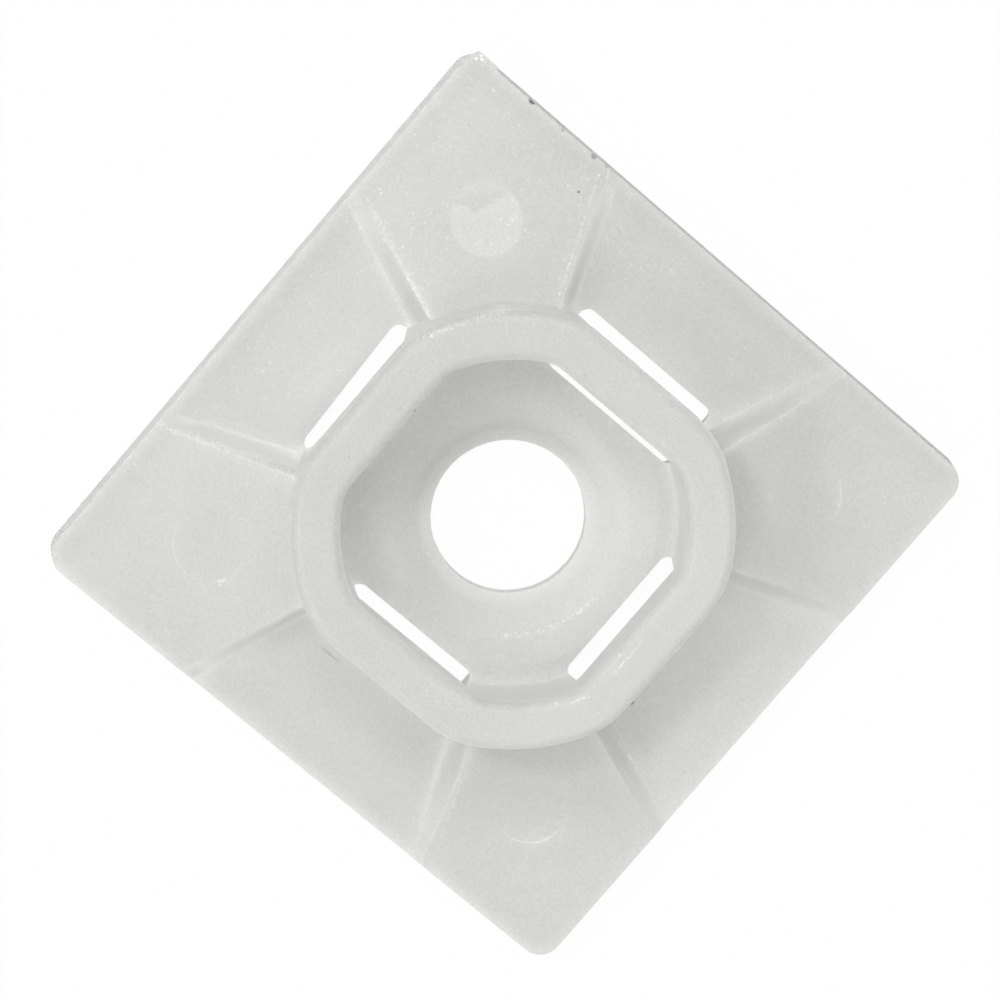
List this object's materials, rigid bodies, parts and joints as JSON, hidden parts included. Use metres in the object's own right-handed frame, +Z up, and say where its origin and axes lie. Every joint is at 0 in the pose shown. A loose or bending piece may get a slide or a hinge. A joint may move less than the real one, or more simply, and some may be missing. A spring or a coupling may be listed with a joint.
{
  "type": "cable tie mount",
  "caption": "Square screw-fixed cable tie mount: a low ring on corner posts bridges windows in the plate, so a tie can be threaded under it from any side.",
  "frame": {"origin": "centre of the plate's flat underside, on the axis of the screw hole", "axes": "+Z up, out of the mounting surface and along the screw hole; X and Y along the sides of the square plate"},
  "size_m": [0.02, 0.02, 0.0039],
  "materials": {
    "nylon": "natural milky nylon with a fine spark-eroded grain, slightly translucent"
  },
  "bodies": {
    "root": {"tie_mount": "nylon"}
  },
  "joints": []
}
